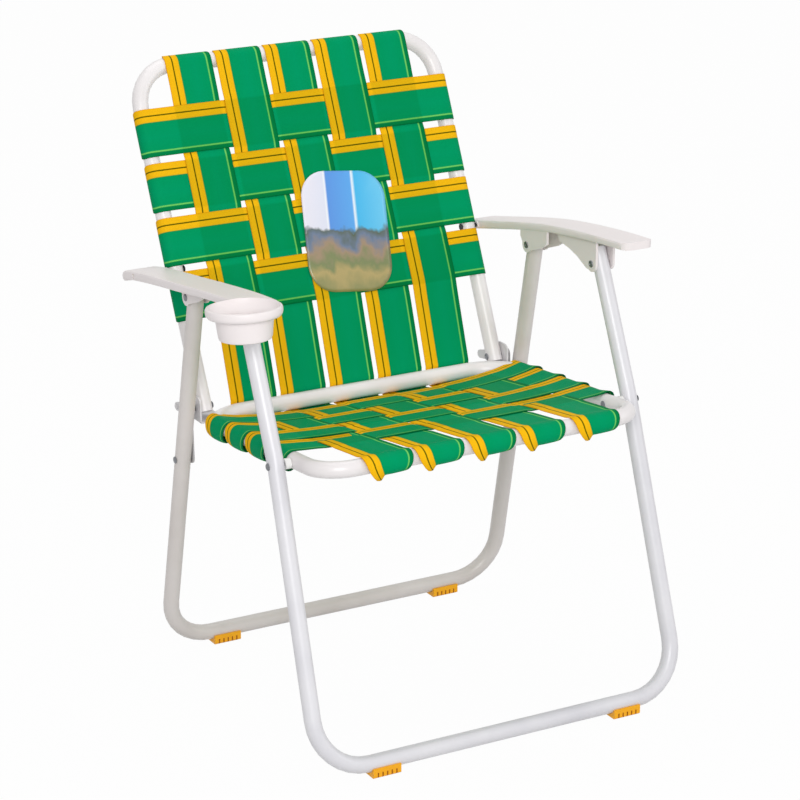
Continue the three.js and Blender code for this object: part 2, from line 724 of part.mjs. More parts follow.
// Foot glides: a channel that clips under a foot bar, grooved below
function glide(x, y) {
  const glideTop = footBarZ - glideBelowAxis;
  const glideHalf = tubeRadius + glideGap + glideSide;
  const mouth = Math.asin((glideTop - footBarZ) / (tubeRadius + glideGap));
  const inner = arc(y, footBarZ, tubeRadius + glideGap, mouth, -Math.PI - mouth, glideSteps);
  const outline = [
    ...inner,
    [y - glideHalf, glideTop], [y - glideHalf, glideChamfer], [y - glideHalf + glideChamfer, 0],
    [y + glideHalf - glideChamfer, 0], [y + glideHalf, glideChamfer], [y + glideHalf, glideTop],
  ];
  let body = sideSolid(outline, x - glideLong / 2, x + glideLong / 2);
  for (let i = 0; i < grooveCount; i++) {
    const gx = x + glideLong * ((i + 1) / (grooveCount + 1) - 0.5);
    for (const s of [-1, 1]) {
      const cut = new THREE.BoxGeometry(grooveWide, grooveDeep * 2, grooveTop * 2);
      cut.translate(gx, y + s * glideHalf, 0);
      body = body.subtract(solid(cut));
    }
  }
  return body;
}
for (const [side, s] of sides) {
  add(`foot_glide_front_${side}`, glide(s * (frontBarHalf - frontGlideIn), frontFootY), yellow, 0.5);
}
for (const [side, s] of sides) {
  add(`foot_glide_rear_${side}`, glide(s * (rearBarHalf - rearGlideIn), rearFootY), yellow, 0.5);
}

// A strap is a thin band that follows a path in the plane of an outline.
function bandOutline(path, thick) {
  const left = [];
  const right = [];
  for (let i = 0; i < path.length; i++) {
    const a = path[Math.max(0, i - 1)];
    const b = path[i];
    const c = path[Math.min(path.length - 1, i + 1)];
    const d0 = new THREE.Vector2(b[0] - a[0], b[1] - a[1]);
    const d1 = new THREE.Vector2(c[0] - b[0], c[1] - b[1]);
    if (i === 0) d0.copy(d1);
    if (i === path.length - 1) d1.copy(d0);
    d0.normalize();
    d1.normalize();
    const m = d0.clone().add(d1).normalize();
    const grow = 1 / Math.max(0.5, m.dot(d0));
    left.push([b[0] - m.y * grow * thick / 2, b[1] + m.x * grow * thick / 2]);
    right.push([b[0] + m.y * grow * thick / 2, b[1] - m.x * grow * thick / 2]);
  }
  return [...right, ...left.reverse()];
}

const wrapRadius = tubeRadius + webGap + webThick / 2;
// How far a bar's bent corner has left its straight line at the outer edge of the webbing
function cornerDrop(half, bend) {
  const past = Math.max(0, webField / 2 - (half - bend));
  return bend - Math.sqrt(bend * bend - past * past);
}
const rearWrap = wrapRadius + cornerDrop(seatHalf, seatRearBend);
const backFlat = tubeRadius + webFlat + cornerDrop(backTopHalf, backCornerBend);
const underLevel = wrapRadius - webThick - underGap;
const yz = (base, along, up, a, b) => {
  const p = base.clone().addScaledVector(along, a).addScaledVector(up, b);
  return [p.y, p.z];
};

// Cross strap: from behind one side tube, round it, over the front, and round the other
function crossStrap(half, centre, normal, across, lean = 0) {
  const path = [[-half + webTuck, -wrapRadius]];
  for (let i = 0; i <= wrapSteps; i++) {
    const a = -Math.PI / 2 - Math.PI * i / wrapSteps;
    path.push([-half + wrapRadius * Math.cos(a), wrapRadius * Math.sin(a)]);
  }
  for (let i = 0; i <= wrapSteps; i++) {
    const a = Math.PI / 2 - Math.PI * i / wrapSteps;
    path.push([half + wrapRadius * Math.cos(a), wrapRadius * Math.sin(a)]);
  }
  path.push([half - webTuck, -wrapRadius]);
  const shape = new THREE.Shape(bandOutline(path, webThick).map((p) => new THREE.Vector2(p[0], p[1])));
  const geo = new THREE.ExtrudeGeometry(shape, { depth: across, steps: 1, bevelEnabled: false });
  geo.translate(0, 0, -across / 2);
  const at = geo.attributes.position;
  for (let i = 0; i < at.count; i++) at.setX(i, at.getX(i) * (1 - lean * at.getZ(i) / half));
  const X = V3(1, 0, 0);
  geo.applyMatrix4(new THREE.Matrix4().makeBasis(X, normal, X.clone().cross(normal)).setPosition(centre));
  return solid(geo);
}

const backLong = backTop.distanceTo(backPivot);
const backLean = backSpread / backLong;
const backCrossPitch = backCrossWidth + backCrossBetween;
// The armrests' rivets pass through the gap above the lowest strap
const backCrossAbove = Math.floor((backLong - crankLong - backFlat) / backCrossPitch);
const backCrossDown = backLong - crankLong + crossPastPivot - (backCrossAbove - 0.5) * backCrossPitch;
const seatCrossSpan = seatRearY - seatCrossIn - (seatPivotY + bushRadius + seatCrossBush);
const seatCrossWidth = (seatCrossSpan - (seatCrossCount - 1) * seatCrossBetween) / seatCrossCount;
const seatCrossPitch = seatCrossWidth + seatCrossBetween;
for (let i = 0; i <= backCrossAbove; i++) {
  const centre = backTop.clone().addScaledVector(backUp, -backCrossDown - i * backCrossPitch);
  const strap = crossStrap(backHalfAt(centre.z), centre, backOut, backCrossWidth, backLean);
  add(`back_cross_strap_${i + 1}`, strap, green, 0.8);
}
for (let i = 0; i < seatCrossCount; i++) {
  const y = seatRearY - seatCrossIn - seatCrossWidth / 2 - i * seatCrossPitch;
  const centre = V3(0, y, seatLine(y));
  add(`seat_cross_strap_${i + 1}`, crossStrap(seatHalf, centre, seatUp, seatCrossWidth), green, 0.8);
}

// Long straps: one run on the back, from over the top bar to the hinge line, and one on the seat, from the
// hinge line behind and under the rear bar to round the front bar
const backPath = [];
{
  const top = backTop;
  backPath.push(yz(top, backUp, backOut, -webTuck, -wrapRadius));
  for (let i = 0; i <= wrapSteps; i++) {
    const a = Math.PI * (1 - i / wrapSteps);
    backPath.push(yz(top, backUp, backOut, wrapRadius * Math.sin(a), wrapRadius * Math.cos(a)));
  }
  backPath.push(yz(top, backUp, backOut, -backFlat / 2, wrapRadius));
  backPath.push(yz(top, backUp, backOut, -backFlat, underLevel));
  const leave = backCrossDown + backCrossAbove * backCrossPitch + backCrossWidth / 2 - webLeaveIn;
  backPath.push(yz(top, backUp, backOut, -leave, underLevel));
  backPath.push([seatRearY + rearWrap + splitGap / 2, backPivotZ + splitGap / 2]);
}
const seatPath = [[seatRearY + rearWrap, backPivotZ - splitGap / 2]];
{
  const rear = V3(0, seatRearY, seatRearZ);
  const front = V3(0, seatFrontY, seatFrontZ);
  seatPath.push(...arc(seatRearY, seatRearZ, rearWrap, 0, -Math.PI * 0.72, wrapSteps));
  seatPath.push(yz(rear, seatBack, seatUp, -webRearRise, underLevel));
  seatPath.push(yz(front, seatBack, seatUp, webFrontRise, underLevel));
  seatPath.push(yz(front, seatBack, seatUp, webFrontRise - webFrontFlat, wrapRadius));
  for (let i = 0; i <= wrapSteps; i++) {
    const a = Math.PI / 2 + Math.PI * i / wrapSteps;
    seatPath.push(yz(front, seatBack, seatUp, wrapRadius * Math.cos(a), wrapRadius * Math.sin(a)));
  }
  seatPath.push(yz(front, seatBack, seatUp, webTuck, -wrapRadius));
}
for (let i = 0; i < longCount; i++) {
  const x = (i - (longCount - 1) / 2) * (webWidth + webBetween);
  const a = x - webWidth / 2;
  const b = x + webWidth / 2;
  add(`back_long_strap_${i + 1}`, sideSolid(bandOutline(backPath, webThick), a, b), green, 0.8);
  add(`seat_long_strap_${i + 1}`, sideSolid(bandOutline(seatPath, webThick), a, b), green, 0.8);
}

// Card hung on the front of the webbing
{
  const w = cardWide / 2;
  const h = cardHigh / 2;
  const r = cardCorner;
  const shape = new THREE.Shape();
  shape.moveTo(-w + r, -h);
  shape.lineTo(w - r, -h);
  shape.absarc(w - r, -h + r, r, -Math.PI / 2, 0, false);
  shape.lineTo(w, h - r);
  shape.absarc(w - r, h - r, r, 0, Math.PI / 2, false);
  shape.lineTo(-w + r, h);
  shape.absarc(-w + r, h - r, r, Math.PI / 2, Math.PI, false);
  shape.lineTo(-w, -h + r);
  shape.absarc(-w + r, -h + r, r, Math.PI, Math.PI * 1.5, false);
  const options = { depth: cardThick, steps: 1, bevelEnabled: false, curveSegments: 6 };
  const geo = new THREE.ExtrudeGeometry(shape, options);
  geo.rotateZ(-cardTurn);
  const X = V3(1, 0, 0);
  const cardOff = wrapRadius + webThick / 2 + touch;
  const at = backPivot.clone().addScaledVector(backUp, cardUp).addScaledVector(backOut, cardOff);
  at.x = cardX;
  geo.applyMatrix4(new THREE.Matrix4().makeBasis(X, backUp, X.clone().cross(backUp)).setPosition(at));
  add('hang_card', solid(geo), cardBlue, 0.45);
}

// The origin is the middle of the chair's box, at floor level
const box = new THREE.Box3().setFromObject(group);
const middle = box.getCenter(V3(0, 0, 0));
for (const mesh of group.children) mesh.geometry.translate(-middle.x, -middle.y, -box.min.z);

export default group;
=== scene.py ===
# %% [markdown]
# # A folding webbed lawn chair
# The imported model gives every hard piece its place: four bent tube frames, two moulded armrests, plates, links,
# rivets and foot glides. This lesson dresses them. It smooths the tubes, weaves the plastic webbing over and under,
# turns the rivet heads and gives each finish its colour, grain and gloss. All lengths are metres, with +Z up and
# the front of the chair towards -Y.

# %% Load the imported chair
import json
import math
import bpy
import bmesh
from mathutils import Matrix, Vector

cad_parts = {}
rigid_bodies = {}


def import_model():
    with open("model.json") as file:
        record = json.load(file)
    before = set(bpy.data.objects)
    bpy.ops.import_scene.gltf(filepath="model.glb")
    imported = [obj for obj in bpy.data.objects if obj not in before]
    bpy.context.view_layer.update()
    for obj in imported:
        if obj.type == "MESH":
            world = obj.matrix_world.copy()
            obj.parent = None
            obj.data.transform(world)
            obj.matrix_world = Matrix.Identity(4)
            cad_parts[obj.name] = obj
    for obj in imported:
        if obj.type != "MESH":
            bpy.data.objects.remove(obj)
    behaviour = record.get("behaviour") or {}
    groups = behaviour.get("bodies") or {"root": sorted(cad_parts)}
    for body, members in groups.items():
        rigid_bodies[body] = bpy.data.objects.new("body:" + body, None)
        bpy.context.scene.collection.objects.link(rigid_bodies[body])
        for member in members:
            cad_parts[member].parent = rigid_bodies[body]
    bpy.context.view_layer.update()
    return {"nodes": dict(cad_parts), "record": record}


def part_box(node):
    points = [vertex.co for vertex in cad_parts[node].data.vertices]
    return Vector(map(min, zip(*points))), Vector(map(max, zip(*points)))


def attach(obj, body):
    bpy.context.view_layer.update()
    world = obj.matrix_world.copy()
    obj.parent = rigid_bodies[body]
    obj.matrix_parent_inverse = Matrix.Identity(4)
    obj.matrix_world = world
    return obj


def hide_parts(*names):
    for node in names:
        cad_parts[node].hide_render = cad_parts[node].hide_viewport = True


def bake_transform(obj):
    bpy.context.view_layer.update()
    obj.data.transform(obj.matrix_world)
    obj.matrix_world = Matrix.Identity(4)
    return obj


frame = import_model()
body_of_node = {n: b for b, names in frame["record"]["behaviour"]["bodies"].items() for n in names}
print("pieces in the packed model:", len(frame["nodes"]))

# %% [markdown]
# ## The camera
# A product photograph is taken from far away with a long lens, which keeps the legs nearly parallel. The lens
# here is about 130 mm on a 36 mm wide sensor, about four metres off, on the cup holder's side and above it.
# The turn of the camera is written as two angles, because they can be read off as "29 degrees round, 19 down".

# %% Camera
MM = 0.001
SHIFT = Vector((24.75, -7.3, 0.0))
CAMERA_PLACE, LENS, SENSOR = (-1763.2, -3212.0, 1641.4), 129.744, 36
ROUND_BY, DOWN_BY = math.radians(-28.9), math.radians(19.0)


def at(x, y, z):
    """A point measured from the middle of the seat, in millimetres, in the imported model's metres."""
    return (Vector((x, y, z)) + SHIFT) * MM


camera_data = bpy.data.cameras.new("product camera")
camera_data.sensor_width = SENSOR
camera_data.lens = LENS
camera_data.clip_end = 60
camera = bpy.data.objects.new("product camera", camera_data)
bpy.context.scene.collection.objects.link(camera)
camera.location = at(*CAMERA_PLACE)
camera.rotation_euler = (math.radians(90) - DOWN_BY, 0, ROUND_BY)
bpy.context.scene.camera = camera
print("camera stands at", [round(c, 3) for c in camera.location])

# %% [markdown]
# ## Floor, backdrop and light
# The studio is a large pale floor that runs into a white world. The camera sees the floor nearly white whatever
# the lamps do, because most of what it sees there is a plain white glow, and the rest keeps the chair's soft
# shadow. The lamps are big soft boxes, so that a colour comes out about as bright as it is written.

# %% Studio
SKY_SEEN, SKY_LIGHT, FLOOR_SEEN = 0.99, 0.5, 0.975
FLOOR_GREY, FLOOR_SIZE, FLOOR_DROP = 0.66, 14, 0.4 * MM
AIM = Vector((0, 0, 0.4))
scene = bpy.context.scene
scene.view_settings.view_transform = "Standard"


def white_for_camera(tree, seen, other):
    """A factor that is seen for rays that look at the background, by eye or in a gloss, and other for light."""
    path = tree.nodes.new("ShaderNodeLightPath")
    looks = tree.nodes.new("ShaderNodeMath")
    looks.operation = "ADD"
    looks.use_clamp = True
    tree.links.new(path.outputs["Is Camera Ray"], looks.inputs[0])
    tree.links.new(path.outputs["Is Glossy Ray"], looks.inputs[1])
    mix = tree.nodes.new("ShaderNodeMapRange")
    tree.links.new(looks.outputs[0], mix.inputs["Value"])
    mix.inputs["To Min"].default_value = other
    mix.inputs["To Max"].default_value = seen
    return mix.outputs[0]


world = bpy.data.worlds.new("white room")
world.use_nodes = True
scene.world = world
sky = world.node_tree.nodes["Background"]
sky.inputs["Color"].default_value = (1, 1, 1, 1)
world.node_tree.links.new(white_for_camera(world.node_tree, SKY_SEEN, SKY_LIGHT), sky.inputs["Strength"])

floor_mesh = bmesh.new()
bmesh.ops.create_grid(floor_mesh, x_segments=1, y_segments=1, size=FLOOR_SIZE)
floor_data = bpy.data.meshes.new("studio floor")
floor_mesh.to_mesh(floor_data)
floor_mesh.free()
floor = bpy.data.objects.new("studio_floor", floor_data)
floor.location.z = -FLOOR_DROP
scene.collection.objects.link(floor)

floor_paint = bpy.data.materials.new("pale floor")
floor_paint.use_nodes = True
nodes, links = floor_paint.node_tree.nodes, floor_paint.node_tree.links
nodes.clear()
glow = nodes.new("ShaderNodeEmission")
matt = nodes.new("ShaderNodeBsdfDiffuse")
matt.inputs["Color"].default_value = (FLOOR_GREY, FLOOR_GREY, FLOOR_GREY, 1)
both = nodes.new("ShaderNodeMixShader")
out = nodes.new("ShaderNodeOutputMaterial")
links.new(white_for_camera(floor_paint.node_tree, FLOOR_SEEN, 0.0), both.inputs[0])
links.new(matt.outputs[0], both.inputs[1])
links.new(glow.outputs[0], both.inputs[2])
links.new(both.outputs[0], out.inputs["Surface"])
floor_data.materials.append(floor_paint)


def soft_box(name, place, size, power):
    """A square lamp with that side in metres and power in watts, aimed at the seat."""
    lamp = bpy.data.lights.new(name, "AREA")
    lamp.shape = "SQUARE"
    lamp.size = size
    lamp.energy = power
    holder = bpy.data.objects.new(name, lamp)
    holder.location = place
    holder.rotation_euler = (AIM - Vector(place)).to_track_quat("-Z", "Y").to_euler()
    scene.collection.objects.link(holder)


soft_box("key soft box", (-1.7, -3.3, 2.0), size=1.8, power=78)
soft_box("fill soft box", (2.8, -2.2, 1.5), size=2.0, power=18)
soft_box("top soft box", (0.2, 0.9, 3.2), size=2.2, power=23)

# %% [markdown]
# ## Writing a finish as sums
# A shader is a web of nodes, which is hard to read as code. Here one small class wraps a node's output, so that
# `0.34 + grain * 0.14` adds its own Math nodes, and one method makes every other node. Colours are written as
# the eye sees them on a screen and turned into the linear values that Blender wants.

# %% Shader helpers


def tone(code):
    """A screen colour such as '0a9550' as linear red, green and blue."""
    shares = [int(code[i:i + 2], 16) / 255 for i in (0, 2, 4)]
    return tuple(s / 12.92 if s <= 0.04045 else ((s + 0.055) / 1.055) ** 2.4 for s in shares) + (1.0,)


class Signal:
    """One output of a finish's nodes, which takes part in plain sums."""

    def __init__(self, finish, socket):
        self.finish = finish
        self.socket = socket

    def sum(self, operation, first, second):
        return self.finish.node("ShaderNodeMath", {"operation": operation}, {0: first, 1: second})

    def __add__(self, other):
        return self.sum("ADD", self, other)

    def __sub__(self, other):
        return self.sum("SUBTRACT", self, other)

    def __mul__(self, other):
        return self.sum("MULTIPLY", self, other)

    def sine(self):
        return self.sum("SINE", self, 0.0)

    __radd__ = __add__


class Finish:
    """A material with one gloss shader, and a method that adds any node to it."""

    def __init__(self, name, **constants):
        self.material = bpy.data.materials.new(name)
        self.material.use_nodes = True
        self.tree = self.material.node_tree
        self.shader = self.tree.nodes["Principled BSDF"]
        for socket, value in constants.items():
            self.shader.inputs[socket.replace("_", " ")].default_value = value

    def node(self, kind, settings=None, inputs=None, output=0):
        made = self.tree.nodes.new(kind)
        for key, value in (settings or {}).items():
            if key == "stops":
                ramp = made.color_ramp
                while len(ramp.elements) < len(value):
                    ramp.elements.new(0.5)
                for element, (place, colour) in zip(ramp.elements, value):
                    element.position, element.color = place, colour
            else:
                setattr(made, key, value)
        for key, value in (inputs or {}).items():
            self.join(value, made.inputs[key])
        return Signal(self, made.outputs[output])

    def join(self, value, socket):
        if isinstance(value, Signal):
            self.tree.links.new(value.socket, socket)
        else:
            socket.default_value = value

    def give(self, name, value):
        self.join(value, self.shader.inputs[name])
        return self

    def noise(self, place, scale, detail=2.0):
        return self.node("ShaderNodeTexNoise", None, {"Vector": place, "Scale": scale, "Detail": detail})

    def mix(self, share, first, second):
        return self.node("ShaderNodeMix", {"data_type": "RGBA"}, {0: share, 6: first, 7: second}, 2)

    def bump(self, height, strength, distance):
        made = self.node("ShaderNodeBump", None, {"Height": height, "Strength": strength, "Distance": distance})
        return self.give("Normal", made)

    def objects_place(self):
        return self.node("ShaderNodeTexCoord", None, None, 3)


print("shader helpers ready")

# %% [markdown]
# ## Hard finishes
# The tubes are powder coated: white, with a soft gloss, a very fine orange-peel skin and slightly greyer patches
# where hands and floors touch them. The front legs are a cooler white. The rear legs are the same white coat, a
# little duller, painted darker and warmer as painted shade for the shade they stand in under the seat and arms. The
# armrests are moulded in a warm white with a fine matt grain. The foot glides are one yellow plastic, painted darker
# inside their grooves as painted shade. Rivets, plates and links are plated or coated steel. The links are painted a
# mid grey as painted shade, and the two rivets between the arms and the back are painted dark as painted shade from
# their access holes. Each pattern is noise on Object coordinates, which works on any shape without unwrapping it.

# %% Coat, plastic and steel finishes


def powder_coat(name, clean, worn, roughness):
    """A soft gloss coat with an orange-peel skin, in a clean and a worn tone."""
    coat = Finish(name, Coat_Weight=0.15, Coat_Roughness=0.22)
    place = coat.objects_place()
    patches = coat.noise(place, scale=9.0, detail=3.0)
    peel = coat.noise(place, scale=900.0, detail=1.0)
    stops = [(0.42, (0, 0, 0, 1)), (0.72, (1, 1, 1, 1))]
    wear = coat.node("ShaderNodeValToRGB", {"stops": stops}, {0: patches})
    coat.give("Base Color", coat.mix(wear, tone(clean), tone(worn)))
    coat.give("Roughness", roughness + patches * 0.12)
    coat.bump(peel, strength=0.25, distance=0.2 * MM)
    return coat.material


def moulded(name, colour, shade, roughness, grain, groove=None):
    """Matt plastic with a fine grain, with painted shade in a darker colour where the mesh marks the inside of a
    glide's grooves.
    """
    plastic = Finish(name, Specular_IOR_Level=0.45)
    place = plastic.objects_place()
    cloud = plastic.noise(place, scale=14.0)
    leather = plastic.noise(place, scale=grain)
    skin = plastic.mix(cloud * 0.6, tone(colour), tone(shade))
    # Painted shade: the faces marked inside the grooves take the darker colour.
    if groove:
        inside = plastic.node("ShaderNodeAttribute", {"attribute_name": "groove"}, None, 2)
        skin = plastic.mix(inside, skin, tone(groove))
    plastic.give("Base Color", skin)
    plastic.give("Roughness", roughness + leather * 0.14)
    plastic.bump(leather, strength=0.3, distance=0.3 * MM)
    return plastic.material


def plated(name, colour, shade, roughness):
    """Dull metal with small stains and finer scratches."""
    steel = Finish(name, Metallic=0.85)
    place = steel.objects_place()
    stain = steel.noise(place, scale=160.0, detail=3.0)
    scratch = steel.noise(place, scale=1400.0, detail=1.0)
    steel.give("Base Color", steel.mix(stain, tone(colour), tone(shade)))
    steel.give("Roughness", roughness + stain * 0.2)
    steel.bump(scratch, strength=0.2, distance=0.1 * MM)
    return steel.material


tube_white = powder_coat("white powder coat", "efebeb", "e3dede", roughness=0.26)
tube_cool = powder_coat("cool white powder coat", "e0dfe3", "d2d1d7", roughness=0.26)
# The rear legs' coat is the white coat painted darker and warmer: painted shade for the shade under the seat and
# arms.
tube_white_painted_shade = powder_coat("white powder coat in painted shade", "d6d0cd", "c8c1bc", roughness=0.32)
plate_white = powder_coat("coated plate", "e3e1e3", "d2cfd1", roughness=0.32)
# The links' mid grey is painted shade.
link_grey_painted_shade = powder_coat("coated link in painted shade", "bdbbbc", "a8a6a8", roughness=0.36)
arm_white = moulded("moulded white arm", "f1eaea", "e6dedd", roughness=0.34, grain=1500.0)
bush_white = moulded("spacer white", "f1f0ee", "e6e5e2", roughness=0.35, grain=900.0)
# The darker colour given for the grooves is painted shade inside them.
glide_yellow = moulded("glide yellow", "fab300", "efa000", roughness=0.38, grain=700.0, groove="b8720c")
rivet_steel = plated("plated rivet", "96989c", "5e6064", roughness=0.28)
# Dark rivet finish: painted shade for the two rivets that sit in the arms' access holes.
rivet_painted_shade = plated("rivet in painted shade", "4c4e52", "2c2d30", roughness=0.4)
print("hard finishes:", len(bpy.data.materials))

# %% [markdown]
# ## Webbing finish
# The webbing is woven from flat green plastic yarn with a yellow band down one side. The band has a thin dark
# thread in it, and near the other side run one light thread and a darker edge. A colour ramp across the strap's
# own UV map gives those bands, so that they follow the strap round every bar. Two crossed sine waves make the
# plain weave's fine bumps. Where one strap lies over another less light comes through, so the mesh carries a
# value called lap, and the colour is painted darker there as painted shade.

# %% Webbing finish
LAP_SHARE, STREAK_SHARE = 0.7, 0.25
BAND_STOPS = [
    (0.0, tone("e89f12")), (0.018, tone("f9bc15")), (0.132, tone("fbc016")), (0.142, tone("5c5804")),
    (0.160, tone("5c5804")), (0.170, tone("fbc016")), (0.276, tone("f7bb16")), (0.290, tone("0a8c4a")),
    (0.31, tone("009a61")), (0.60, tone("009b66")), (0.872, tone("009960")), (0.882, tone("74cf66")),
    (0.902, tone("74cf66")), (0.912, tone("00854a")), (0.985, tone("007f46")), (1.0, tone("006438")),
]
webbing = Finish("woven webbing", Specular_IOR_Level=0.02)
strap_map = webbing.node("ShaderNodeUVMap", {"uv_map": "cloth"})
across = webbing.node("ShaderNodeSeparateXYZ", None, {0: strap_map}, 0)
along = webbing.node("ShaderNodeSeparateXYZ", None, {0: strap_map}, 1)
bands = webbing.node("ShaderNodeValToRGB", {"stops": BAND_STOPS}, {0: across})
lap = webbing.node("ShaderNodeAttribute", {"attribute_name": "lap"}, None, 2)
# Painted shade where one strap lies over another, set by lap.
lap_painted_shade = webbing.node("ShaderNodeMix", {"data_type": "RGBA", "blend_type": "MULTIPLY"},
                      {0: lap * LAP_SHARE, 6: bands, 7: tone("e3ecdc")}, 2)
STREAKS_ACROSS, STREAKS_PER_METRE = 90, 40
stretched = webbing.node("ShaderNodeCombineXYZ", None, {0: across * STREAKS_ACROSS, 1: along * STREAKS_PER_METRE})
streaks = webbing.noise(stretched, scale=1.0)
webbing.give("Base Color", webbing.node("ShaderNodeMix", {"data_type": "RGBA", "blend_type": "MULTIPLY"},
                                        {0: streaks * STREAK_SHARE, 6: lap_painted_shade, 7: tone("c9d6c4")}, 2))
WARP_YARNS, WEFT_PITCH = 58, 1.4 * MM
warp_yarn = (across * (2 * math.pi * WARP_YARNS)).sine()
weft_yarn = (along * (2 * math.pi / WEFT_PITCH)).sine()
webbing.give("Roughness", 0.46 + streaks * 0.16)
webbing.bump(warp_yarn * weft_yarn * 0.5 + warp_yarn * 0.3, strength=0.35, distance=0.3 * MM)
web_green = webbing.material
print("bands across the webbing:", len(BAND_STOPS))

# %% [markdown]
# ## Frames, arms, plates and glides
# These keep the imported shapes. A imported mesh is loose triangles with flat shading, so each one is copied, its
# doubles are merged, and edges that turn by less than forty degrees are shaded smooth. A weighted normal
# modifier keeps large flat faces flat beside their rounded edges. The copy then stands for its node.

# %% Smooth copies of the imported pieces


def show(name, mesh_data, finish, body):
    """Put a mesh in the scene with its finish, riding on a body where one is named."""
    piece = bpy.data.objects.new(name, mesh_data)
    scene.collection.objects.link(piece)
    mesh_data.materials.clear()
    mesh_data.materials.append(finish)
    if body:
        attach(piece, body)
    return piece


def soften(bm, angle=40):
    """Shade all faces smooth, but keep edges sharp that turn by that many degrees or more."""
    for face in bm.faces:
        face.smooth = True
    for edge in bm.edges:
        edge.smooth = len(edge.link_faces) == 2 and edge.calc_face_angle(0) < math.radians(angle)


def smooth_copy(node, finish, angle=40):
    """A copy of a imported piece, welded and smooth, that stands for it."""
    bm = bmesh.new()
    bm.from_mesh(frame["nodes"][node].data)
    bmesh.ops.remove_doubles(bm, verts=bm.verts, dist=1e-6)
    soften(bm, angle)
    data = bpy.data.meshes.new(node + "_smooth")
    bm.to_mesh(data)
    bm.free()
    piece = show(node + "_finished", data, finish, body_of_node[node])
    piece.modifiers.new("flat faces stay flat", "WEIGHTED_NORMAL").keep_sharp = True
    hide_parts(node)


for node in ("back_frame", "seat_frame"):
    smooth_copy(node, tube_white)
smooth_copy("front_leg_frame", tube_cool)
# The rear legs take the copy of the white coat that carries painted shade.
smooth_copy("rear_leg_frame", tube_white_painted_shade)
for node in ("armrest_left_cup_holder", "armrest_right"):
    smooth_copy(node, arm_white, angle=34)
for side in ("left", "right"):
    smooth_copy("hinge_plate_" + side, plate_white, angle=30)
    # The links' mid grey finish is painted shade.
    smooth_copy("rear_link_" + side, link_grey_painted_shade, angle=30)
    smooth_copy("seat_bush_" + side, bush_white, angle=30)
    smooth_copy("foot_glide_front_" + side, glide_yellow, angle=24)
    smooth_copy("foot_glide_rear_" + side, glide_yellow, angle=24)

# %% [markdown]
# ## Touches on some of the copies
# The right front leg's tube reaches up into the hollow of its arm, so its end is moved on along the leg. The
# hollow arm has square inner corners behind its rounded front, so each of the two gets a short curved wall on
# the inside. The faces within the foot glides' grooves are marked, so that the yellow is painted darker there as
# painted shade.

# %% Leg end, arm corners and glide grooves
ALONG_LEG, LEG_REACH = Vector((0, 0.411, 0.9116)), 13 * MM
ARM_CORNERS = [((279.75, -178.30), (205, 247)), ((301.75, -178.30), (293, 335))]
CORNER_RADII, CORNER_HEIGHTS = (10.2, 12.95), (599.6, 607.8)
GROOVE_DEEP, GROOVE_TOP = 1.4 * MM, 7.6 * MM


def reach_up(data):
    """Move the end of the right leg's tube on along the leg."""
    tip = max(v.co.dot(ALONG_LEG) for v in data.vertices)
    for vertex in data.vertices:
        if vertex.co.x > 0 and vertex.co.dot(ALONG_LEG) > tip - 0.5 * MM:
            vertex.co += ALONG_LEG * LEG_REACH


def curved_wall(bm, centre, radii, angles, heights, steps=6):
    """A short wall that follows an arc in plan, with lengths in millimetres and angles in degrees."""
    rings = []
    for i in range(steps + 1):
        turn = math.radians(angles[0] + (angles[1] - angles[0]) * i / steps)
        corners = [(radii[a], heights[b]) for a, b in ((0, 0), (1, 0), (1, 1), (0, 1))]
        rings.append([bm.verts.new(Vector((centre[0] + r * math.cos(turn), centre[1] + r * math.sin(turn), z)) * MM)
                      for r, z in corners])
    for one, two in zip(rings, rings[1:]):
        for k in range(4):
            bm.faces.new((one[k], one[k - 1], two[k - 1], two[k]))
    bm.faces.new(rings[0])
    bm.faces.new(reversed(rings[-1]))


def close_corners(data):
    """Line the two rounded front corners of the hollow arm."""
    bm = bmesh.new()
    bm.from_mesh(data)
    before = set(bm.faces)
    for centre, angles in ARM_CORNERS:
        curved_wall(bm, centre, CORNER_RADII, angles, CORNER_HEIGHTS)
    bmesh.ops.recalc_face_normals(bm, faces=[face for face in bm.faces if face not in before])
    bm.to_mesh(data)
    bm.free()


def mark_grooves(data):
    """Give the faces inside a glide's grooves the value 1 in an attribute that marks where painted shade goes."""
    groove = data.attributes.new("groove", "FLOAT", "FACE")
    spans = [(min(v.co[axis] for v in data.vertices), max(v.co[axis] for v in data.vertices)) for axis in (0, 1)]
    marked = 0
    for face, value in zip(data.polygons, groove.data):
        from_end, from_side = [min(face.center[axis] - low, high - face.center[axis])
                               for axis, (low, high) in enumerate(spans)]
        chamfer = abs(face.normal.y) > 0.3 and abs(face.normal.z) > 0.3
        inside = 0.1 * MM < from_side < GROOVE_DEEP and 0.1 * MM < face.center.z < GROOVE_TOP
        if inside and from_end > 1 * MM and not chamfer:
            value.value = 1.0
            marked += 1
    return marked


reach_up(bpy.data.objects["front_leg_frame_finished"].data)
close_corners(bpy.data.objects["armrest_right_finished"].data)
glides = [o for o in scene.objects if o.name.startswith("foot_glide") and o.name.endswith("_finished")]
print("faces inside the grooves:", [mark_grooves(glide.data) for glide in glides])

# %% [markdown]
# ## Rivets
# Each pivot is a tubular rivet: a shank with a domed factory head on one side and a rolled, dimpled end on the
# other. A rivet is round, so half of its outline is drawn once and spun about the pivot's axis.

# %% Turned rivets
SHANK = 2.9 * MM


